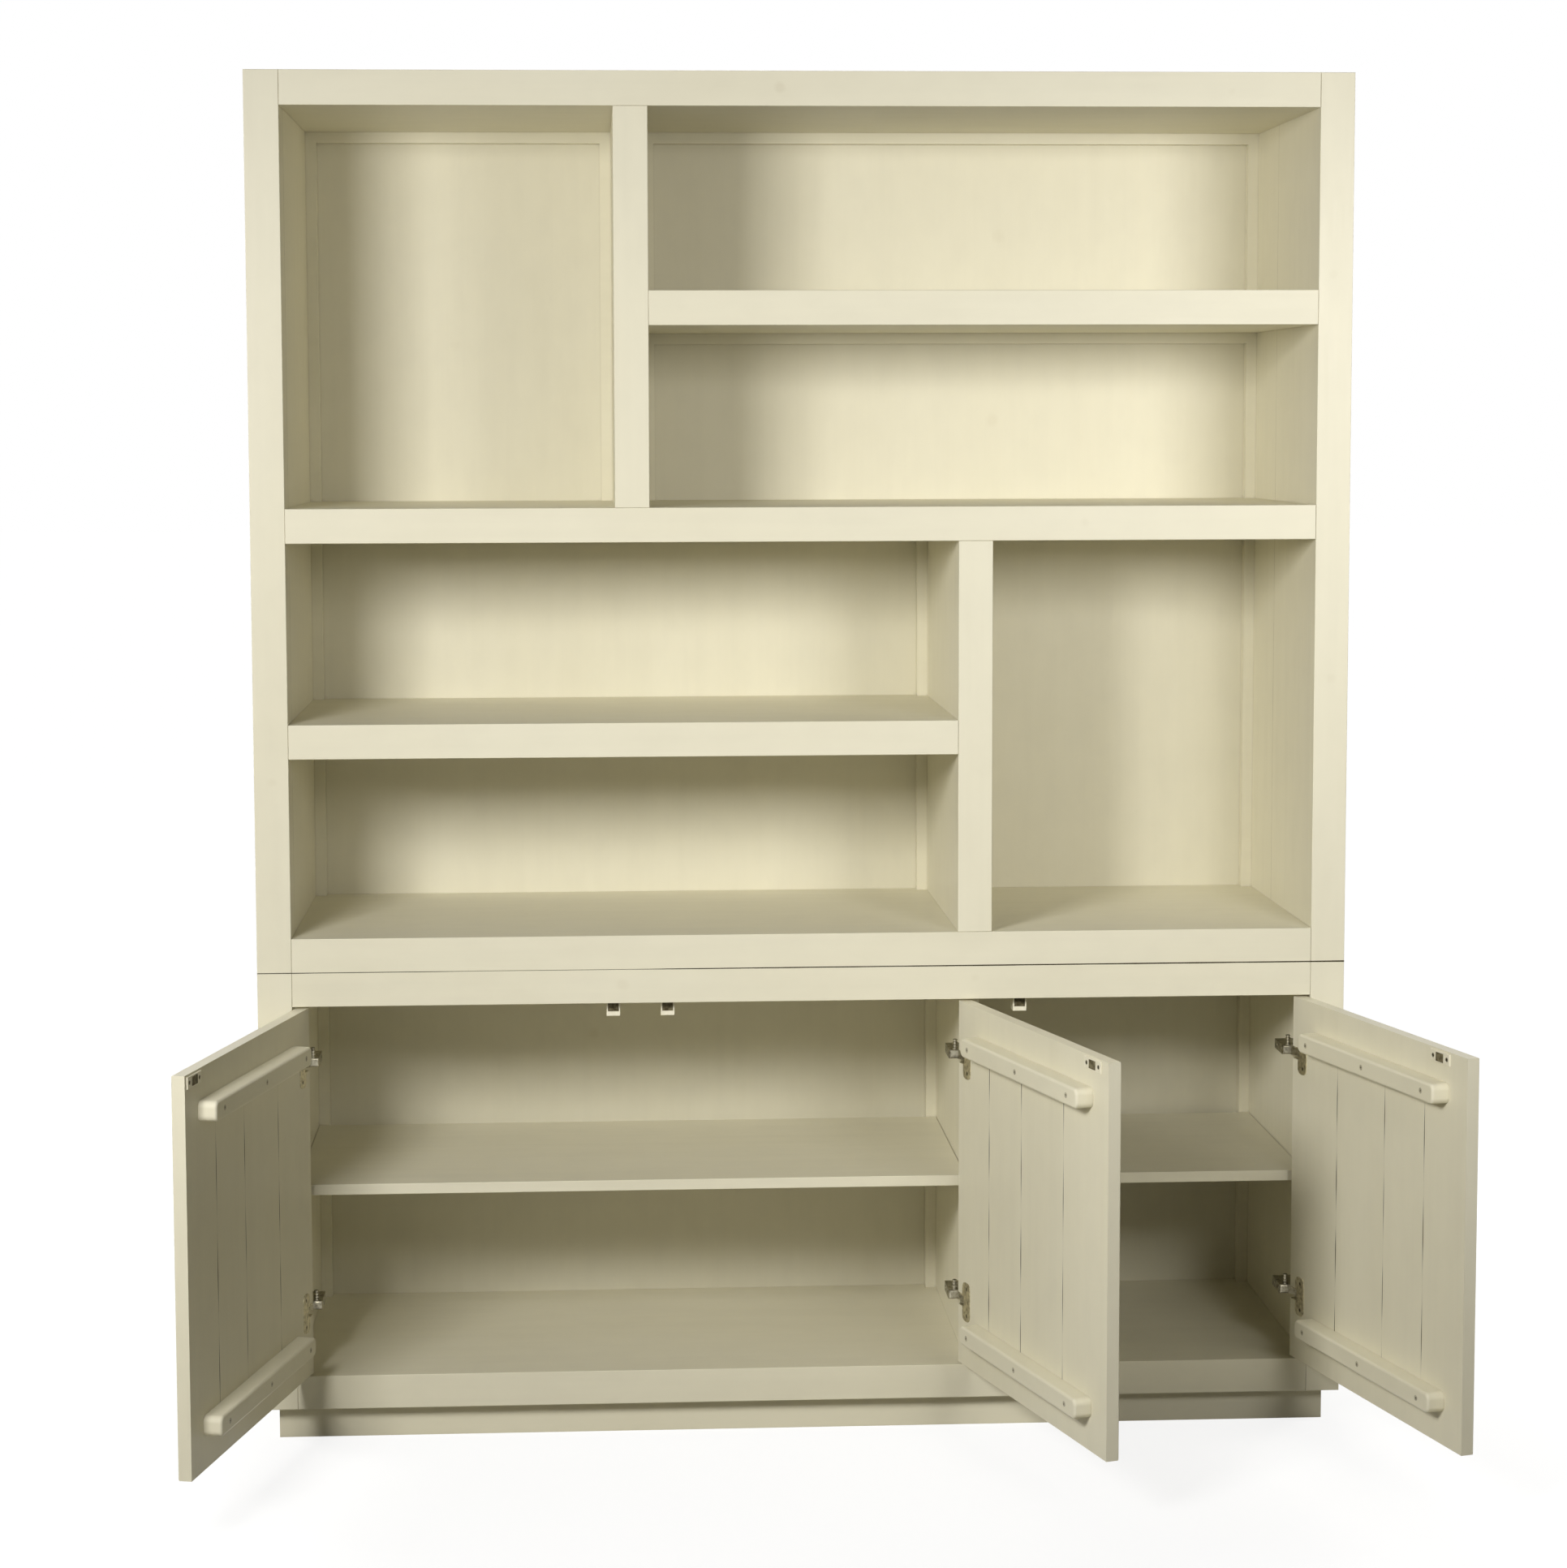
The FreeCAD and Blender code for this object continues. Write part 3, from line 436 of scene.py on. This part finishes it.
# Crosses in screw heads: reach from the middle and width
BATTEN_CROSS = (2.3 * MM, 0.9 * MM)
FITTING_CROSS = (2.6 * MM, 1.3 * MM)
ADJUSTER_CROSS = (2.1 * MM, 0.8 * MM)
SMALL_CROSS = (1.9 * MM, 0.7 * MM)


def seam_stations(seed, low, high, widest, period):
    """Widths along a plank seam: it opens and closes as the planks' edges wander."""
    stations = []
    count = int((high - low) / SEAM_PITCH)
    for step in range(count + 1):
        z = low + (high - low) * step / count
        swell = abs(math.sin(math.pi * z / period + seed)) ** SEAM_SWELL
        half = widest * swell * (0.8 + 0.2 * waver(seed, z))
        stations.append((z - low, max(half, CLOSED_SEAM)))
    return stations


def dress_door(name, door, seams, catch_place, seed, shade, recess_shade):
    """Seams between the planks and the crosses in the screw heads."""
    gaps = Bundle()
    low, high = SEAM_REACH
    for number, u in enumerate(seams):
        widest = (1.2 + 0.25 * waver(seed + number, 0.4)) * MM
        stations = seam_stations(seed + number * 1.3, low, high, widest, 0.112 + 0.013 * number)
        gaps.sliver(door.place(u, DOOR_INNER_FACE, low), UP, door.across, door.inward, stations)
    gaps.make(f"{name}_plank_gaps", shade, name)
    crosses = Bundle()
    turn = 0
    for z in BATTEN_HEIGHTS:
        for u in BATTEN_SCREWS:
            turn += 1
            up = (UP + door.across * math.sin(seed + turn * 1.9)).normalized()
            across = door.inward.cross(up)
            crosses.recess(door.place(u, BATTEN_FACE, z), up, across, door.inward, *BATTEN_CROSS)
    steps = (-FLANGE_SCREW_RISE, FLANGE_SCREW_RISE)
    spots = [(FLANGE_SCREW, FLANGE_FACE, z + step) for z in HINGE_HEIGHTS for step in steps]
    steps = (-CATCH_SCREW_STEP, CATCH_SCREW_STEP)
    spots += [(catch_place + step, CATCH_FACE, CATCH_HEIGHT) for step in steps]
    for u, v, z in spots:
        turn += 1
        up = (UP + door.across * math.sin(seed + turn * 2.3)).normalized()
        across = door.inward.cross(up)
        crosses.recess(door.place(u, v, z), up, across, door.inward, *FITTING_CROSS)
    crosses.make(f"{name}_screw_crosses", recess_shade, name)


# Profiles of a screw head and of the post on a hinge arm, as radius and distance in mm
HEAD_RINGS = ((3.4, 0.0), (3.4, 0.4), (2.9, 0.7), (1.5, 0.9))
POST_RINGS = (
    (4.4, 0.0), (4.4, 1.6), (3.0, 2.2), (3.0, 3.6), (4.2, 4.2), (4.2, 5.8), (2.8, 6.4), (2.8, 8.0),
    (3.9, 8.6), (3.9, 10.2), (2.6, 10.8), (2.6, 12.4), (3.5, 12.9), (3.5, 14.0), (2.6, 14.5),
)


def dress_hinges(doors, steel, recess_shade):
    """Adjusting screws and turned posts on the hinge arms, and crosses in these and the wall screws."""
    low_head = [(radius * MM, lift * MM) for radius, lift in HEAD_RINGS]
    post = [(radius * MM, lift * MM) for radius, lift in POST_RINGS]
    heads = Bundle()
    crosses = Bundle()
    for door, wall in doors:
        out = RIGHT * door.side
        across = out.cross(UP)
        for z in HINGE_HEIGHTS:
            for step in (-WALL_SCREW_RISE, WALL_SCREW_RISE):
                place = Vector((door.pin_x, door.pin_y + WALL_SCREW_BACK, z + step))
                crosses.recess(place + out * (wall + WALL_PLATE), UP, across, out, *SMALL_CROSS)
            for back in ARM_SCREWS_BACK:
                place = Vector((door.pin_x, door.pin_y + back, z)) + out * ARM_FACE
                heads.turned(place, UP, across, out, low_head)
                crosses.recess(place + out * low_head[-1][1], UP, across, out, *ADJUSTER_CROSS)
            foot = Vector((door.pin_x, door.pin_y + POST_BACK, z + ARM_HALF_HEIGHT)) + out * POST_OUT
            heads.turned(foot, BACK, RIGHT, UP, post)
            crosses.recess(foot + UP * post[-1][1], BACK, RIGHT, UP, *ADJUSTER_CROSS)
    heads.make("hinge_adjusting_screws", steel, "carcass")
    crosses.make("hinge_screw_crosses", recess_shade, "carcass")


LINE_PITCH = 0.012


def joint_line(bundle, start, along, across, normal, length, seed, thin, thick):
    """A fine uneven line where two boards meet, between two half widths in mm."""
    count = max(8, int(length / LINE_PITCH))
    stations = []
    for step in range(count + 1):
        distance = length * step / count
        share = 0.5 + 0.5 * waver(seed, distance)
        stations.append((distance, (thin + (thick - thin) * share ** 1.5) * MM))
    bundle.sliver(start, along, across, normal, stations)


# The carcass: its faces, the undersides of its full boards and small shelves, and its dividers' faces
FRONT_Y, BACK_Y = -0.225, 0.225
SIDE_X, CLEAR_X = 0.8, 0.75
BOARD = 0.05
FULL_BOARDS = (0.05, 0.65, 0.70, 1.325, 1.95)
LEFT_SHELF, RIGHT_SHELF = 1.0125, 1.6375
UPPER_DIVIDER = (-0.275, -0.225)
LOWER_DIVIDER = (0.225, 0.275)
# The ends of the dividers, where they meet the boards
DIVIDER_ENDS = ((UPPER_DIVIDER, 1.95), (UPPER_DIVIDER, 1.375), (LOWER_DIVIDER, 1.325), (LOWER_DIVIDER, 0.75))

# The seam between the two units: how wide it stands open along the front, from 0 to 1
SEAM_HEIGHT = 0.700
SEAM_STEP = 0.01
SEAM_OPENING = (
    (0.0, 0.5), (0.05, 0.55), (0.25, 0.35), (0.30, 0.1), (0.55, 0.12), (0.62, 0.7), (1.0, 0.85), (1.6, 1.0)
)

# Where the planks of the sides meet inside the compartments: x, y, low, high and widest half width in mm
WALL_SEAMS = (
    (CLEAR_X, 0.055, 1.6875, 1.95, 0.35),
    (CLEAR_X, 0.055, 1.375, 1.6375, 0.35),
    (CLEAR_X, 0.055, 0.75, 1.325, 0.55),
    (-CLEAR_X, -0.167, 1.375, 1.95, 0.35),
    (-CLEAR_X, -0.167, 1.0625, 1.325, 0.3),
    (-CLEAR_X, -0.167, 0.75, 1.0125, 0.3),
)


def dress_carcass(shade, soft_shade, recess_shade):
    """The seam between the units, the fine lines of the board joints and the crosses at the back."""
    seam = Bundle()
    front = []
    for step in range(round(2 * SIDE_X / SEAM_STEP) + 1):
        x = SEAM_STEP * step
        open_share = SEAM_OPENING[-1][1]
        for (low, start), (high, end) in zip(SEAM_OPENING, SEAM_OPENING[1:]):
            if low <= x <= high:
                open_share = start + (end - start) * (x - low) / (high - low)
                break
        front.append((x, (0.12 + 1.1 * open_share * (0.85 + 0.15 * waver(1.0, x))) * MM))
    seam.sliver(Vector((-SIDE_X, FRONT_Y, SEAM_HEIGHT)), RIGHT, UP, FRONT, front)
    joint_line(seam, Vector((-SIDE_X, BACK_Y, SEAM_HEIGHT)), RIGHT, UP, BACK, 2 * SIDE_X, 2.0, 0.15, 0.6)
    for x, normal in ((-SIDE_X, -RIGHT), (SIDE_X, RIGHT)):
        corner = Vector((x, FRONT_Y, SEAM_HEIGHT))
        joint_line(seam, corner, BACK, UP, normal, BACK_Y - FRONT_Y, 3.0 + x, 0.12, 0.5)
    seam.make("unit_seam", shade, "carcass")
    lines = Bundle()
    ends = [(low, -CLEAR_X) for low in (*FULL_BOARDS, LEFT_SHELF)]
    ends += [(low, CLEAR_X) for low in (*FULL_BOARDS, RIGHT_SHELF)]
    ends += [(RIGHT_SHELF, UPPER_DIVIDER[1]), (LEFT_SHELF, LOWER_DIVIDER[0])]
    for number, (low, x) in enumerate(ends):
        joint_line(lines, Vector((x, FRONT_Y, low)), UP, RIGHT, FRONT, BOARD, number * 0.7, 0.06, 0.28)
    for number, ((left, right), z) in enumerate(DIVIDER_ENDS):
        start = Vector((left, FRONT_Y, z))
        joint_line(lines, start, RIGHT, UP, FRONT, right - left, number * 1.7, 0.06, 0.25)
    for x, y, low, high, widest in WALL_SEAMS:
        normal = -RIGHT if x > 0 else RIGHT
        joint_line(lines, Vector((x, y, low)), UP, BACK, normal, high - low, 4.0 * y, 0.05, widest)
    lines.make("board_joint_lines", soft_shade, "carcass")
    crosses = Bundle()
    for number, (x, z) in enumerate(back_screw_places()):
        angle = number * 2.17
        up = UP * math.cos(angle) + RIGHT * math.sin(angle)
        crosses.recess(Vector((x, BACK_Y, z)), up, BACK.cross(up), BACK, *SMALL_CROSS)
    crosses.make("back_screw_crosses", recess_shade, "carcass")


# Laths in the back corners, and the screws that hold the back panels to them
LATH = 0.017
LATH_SCREWS = (0.25, 0.75)
MIDDLE_ROW = (0.1, 0.3, 0.5, 0.7, 0.9)
MIDDLE_ROW_HEIGHT = 1.35
# Compartments that have laths: left, right, low and high edges, and which laths carry screws
LATH_FRAMES = (
    (-0.75, 0.225, 0.75, 1.0125, "left"),
    (-0.75, 0.225, 1.0625, 1.325, "left"),
    (-0.75, -0.275, 1.375, 1.95, "left top"),
    (-0.75, 0.2405, 0.1, 0.65, "left top"),
    (0.275, 0.75, 0.75, 1.325, "right"),
    (-0.225, 0.75, 1.375, 1.6375, "right"),
    (-0.225, 0.75, 1.6875, 1.95, "right top"),
    (0.2585, 0.75, 0.1, 0.65, "right top"),
)


def back_screw_places():
    """The heads of the back panels' screws, as x and z."""
    places = []
    for left, right, low, high, lines in LATH_FRAMES:
        for share in LATH_SCREWS:
            z = low + share * (high - low - LATH)
            if "left" in lines:
                places.append((left + LATH / 2, z))
            if "right" in lines:
                places.append((right - LATH / 2, z))
            if "top" in lines:
                places.append((left + share * (right - left), high - LATH / 2))
    for share in MIDDLE_ROW:
        places.append((-CLEAR_X + share * 2 * CLEAR_X, MIDDLE_ROW_HEIGHT))
    return places


def dress_details():
    """Every small piece that the scene adds to the CAD nodes."""
    joints = {joint["name"]: joint for joint in frame["record"]["behaviour"]["joints"]}
    left = HungDoor(joints["left_door_hinge"], 1)
    middle = HungDoor(joints["middle_door_hinge"], -1)
    right = HungDoor(joints["right_door_hinge"], -1)
    shade = gap_shadow("open_gap", 1.0)
    soft_shade = gap_shadow("closed_joint", 4.0)
    recess_shade = gap_shadow("screw_cross", 0.8)
    steel = bpy.data.materials["hinge_nickel"]
    dress_door("left_door", left, WIDE_FIRST_SEAMS, 0.459, 0.3, shade, recess_shade)
    dress_door("middle_door", middle, WIDE_LAST_SEAMS, 0.444, 1.7, shade, recess_shade)
    dress_door("right_door", right, WIDE_FIRST_SEAMS, 0.421, 2.9, shade, recess_shade)
    dress_hinges(((left, -0.009), (middle, 0.0015), (right, -0.009)), steel, recess_shade)
    dress_carcass(shade, soft_shade, recess_shade)


# Knots that show through the paint: x, z, radius and how strongly, on each board
KNOTS = {
    "hutch_back_panel": ((0.335, 1.79, 0.012, 0.08), (0.33, 1.50, 0.013, 0.10), (-0.52, 1.62, 0.010, 0.06)),
    "base_back_panel": ((-0.02, 0.33, 0.011, 0.45), (0.045, 0.31, 0.012, 0.50), (-0.31, 0.52, 0.010, 0.15)),
    "hutch_top": ((-0.035, 1.977, 0.009, 0.16), (0.62, 1.972, 0.007, 0.06)),
    "base_top": ((-0.27, 0.677, 0.012, 0.10), (0.25, 0.682, 0.010, 0.08)),
    "hutch_middle_shelf": ((0.41, 1.352, 0.008, 0.06),),
    "hutch_right_side": ((0.776, 1.12, 0.009, 0.08), (0.771, 1.71, 0.007, 0.06)),
    "hutch_left_side": ((-0.774, 0.98, 0.009, 0.08),),
}

# Painted shade: the back panels' paint is darkened by these factors, for the shade deep in the compartments
PANEL_SHADE_TONES = {"hutch_back_panel": 0.955, "base_back_panel": 0.9}
UPRIGHT_WORDS = ("side", "divider", "partition", "plank", "panel")

NICKEL = colour(0.43, 0.40, 0.30)
NICKEL_STAIN = colour(0.09, 0.075, 0.05)
CUP_NICKEL = colour(0.68, 0.63, 0.47)
CUP_STAIN = colour(0.17, 0.145, 0.09)
ZINC = colour(0.30, 0.28, 0.22)
ZINC_STAIN = colour(0.10, 0.09, 0.06)


def dress_nodes():
    """Gives each CAD node its finish. Boards get the grain along their length."""
    finishes = {
        "hinge_steel": plated_steel("hinge_nickel", NICKEL, NICKEL_STAIN, 0.28, 0.5, 0.85),
        "screw_steel": plated_steel("screw_zinc", ZINC, ZINC_STAIN, 0.30, 0.5, 0.8, PAINTED_HEIGHTS),
        "catch_plastic": moulded_plastic(),
        "dark_iron": dark_iron(),
        "bare_wood": bare_wood(),
    }
    cups = plated_steel("hinge_cup_nickel", CUP_NICKEL, CUP_STAIN, 0.28, 0.5, 0.75)
    slots = {part["node"]: part["material_slot"] for part in frame["record"]["subparts"]}
    for number, (name, piece) in enumerate(sorted(frame["nodes"].items())):
        if name.endswith("hinge_cups"):
            material = cups
        elif slots[name] in finishes:
            material = finishes[slots[name]]
        else:
            axis = "z" if any(word in name for word in UPRIGHT_WORDS) else "x"
            if "batten" in name or name == "plinth_brace":
                axis = "y"
            # Painted shade: the back panels' paint is darkened for the shade deep in the compartments, other
            # boards keep 1
            shade_tone = PANEL_SHADE_TONES.get(name, 1.0)
            material = painted_wood(f"paint_{name}", axis, 0.37 * number, KNOTS.get(name, ()), shade_tone)
        piece.data.materials.clear()
        piece.data.materials.append(material)


WHITE = colour(1.0, 1.0, 1.0)
FLOOR_REACH = 40.0
FLOOR_MATTE = colour(0.42, 0.40, 0.33)
FLOOR_SHOWN = colour(0.22, 0.22, 0.22)
# The floor's glow is dimmed near the cabinet, a painted shade round it, and full white clear of it: from just
# under the cabinet to clear of it, in metres
GLOW_FROM, GLOW_TO = 0.9, 1.9
GLOW_NEAR_SHADED = 0.85
FILL = colour(1.0, 0.965, 0.86)
FILL_STRENGTH = 0.013


def make_stage():
    """A pale floor that keeps the cabinet's shadow, under an even white surround."""
    mesh = bpy.data.meshes.new("floor")
    far = FLOOR_REACH
    mesh.from_pydata([(-far, -far, 0), (far, -far, 0), (far, far, 0), (-far, far, 0)], [], [(0, 1, 2, 3)])
    floor = bpy.data.objects.new("floor", mesh)
    bpy.context.scene.collection.objects.link(floor)
    material = bpy.data.materials.new("floor")
    nodes = Nodes(material)
    coords = nodes.add("ShaderNodeTexCoord")
    reach = nodes.add("ShaderNodeVectorMath", {0: coords.outputs["Object"]}, operation="LENGTH")
    # Painted shade: the glow is dimmer near the cabinet than clear of it
    glow = nodes.spread(reach.outputs["Value"], GLOW_FROM, GLOW_TO, GLOW_NEAR_SHADED, 1.0)
    matte = nodes.add("ShaderNodeBsdfDiffuse", {"Color": FLOOR_MATTE})
    shown = nodes.add("ShaderNodeBsdfDiffuse", {"Color": FLOOR_SHOWN})
    white = nodes.add("ShaderNodeEmission", {"Color": WHITE, "Strength": glow})
    both = nodes.add("ShaderNodeAddShader", {0: shown.outputs[0], 1: white.outputs[0]})
    blend = nodes.add("ShaderNodeMixShader", {0: nodes.shown_rays(), 1: matte.outputs[0], 2: both.outputs[0]})
    nodes.finish(blend.outputs[0])
    mesh.materials.append(material)

    world = bpy.data.worlds.new("surround")
    bpy.context.scene.world = world
    nodes = Nodes(world)
    fill = nodes.add("ShaderNodeBackground", {"Color": FILL, "Strength": FILL_STRENGTH})
    white = nodes.add("ShaderNodeBackground", {"Color": WHITE, "Strength": 1.0})
    blend = nodes.add("ShaderNodeMixShader", {0: nodes.shown_rays(), 1: fill.outputs[0], 2: white.outputs[0]})
    nodes.add("ShaderNodeOutputWorld", {"Surface": blend.outputs[0]})


class Lamp:
    """A softbox: where it stands, what it points at, its size, its beam's spread and its power."""

    def __init__(self, name, place, aim, size, spread, power):
        self.name = name
        self.place = Vector(place)
        self.aim = Vector(aim)
        self.size = size
        self.spread = spread
        self.power = power


LAMP_COLOUR = (1.0, 0.985, 0.955)
LAMPS = (
    Lamp("left_softbox", (-1.42, -2.63, 1.86), (0.0, 0.0, 1.2), (0.72, 0.66), 180, 41.0),
    Lamp("left_softbox_grid", (-1.42, -2.63, 1.86), (0.5, 0.2, 0.2), (0.72, 0.66), 90, 7.2),
    Lamp("right_softbox", (1.36, -3.0, 1.86), (1.08, 0.2, 1.4), (0.9, 0.66), 75, 9.8),
    # Out of the front's reach: these only show the sides, the back and the top
    Lamp("left_side_softbox", (-3.5, 1.1, 1.7), (-0.8, 0.1, 1.0), (1.2, 1.0), 90, 15.0),
    Lamp("right_side_softbox", (3.5, 1.1, 1.7), (0.8, 0.1, 1.0), (1.2, 1.0), 90, 13.0),
    Lamp("back_softbox", (0.3, 3.8, 2.3), (0.0, 0.2, 0.9), (1.6, 1.2), 120, 32.0),
    Lamp("top_softbox", (-0.2, 1.3, 3.9), (0.0, 0.0, 2.0), (1.2, 0.9), 90, 11.0),
)


def make_lamps():
    """Plain soft studio light."""
    for lamp in LAMPS:
        data = bpy.data.lights.new(lamp.name, "AREA")
        data.shape = "RECTANGLE"
        data.size, data.size_y = lamp.size
        data.spread = math.radians(lamp.spread)
        data.energy = lamp.power
        data.color = LAMP_COLOUR
        thing = bpy.data.objects.new(lamp.name, data)
        bpy.context.scene.collection.objects.link(thing)
        thing.location = lamp.place
        thing.rotation_euler = (lamp.aim - lamp.place).to_track_quat("-Z", "Y").to_euler()


make_camera()
make_stage()
make_lamps()
dress_nodes()
dress_details()
bpy.context.scene.view_settings.view_transform = "Standard"
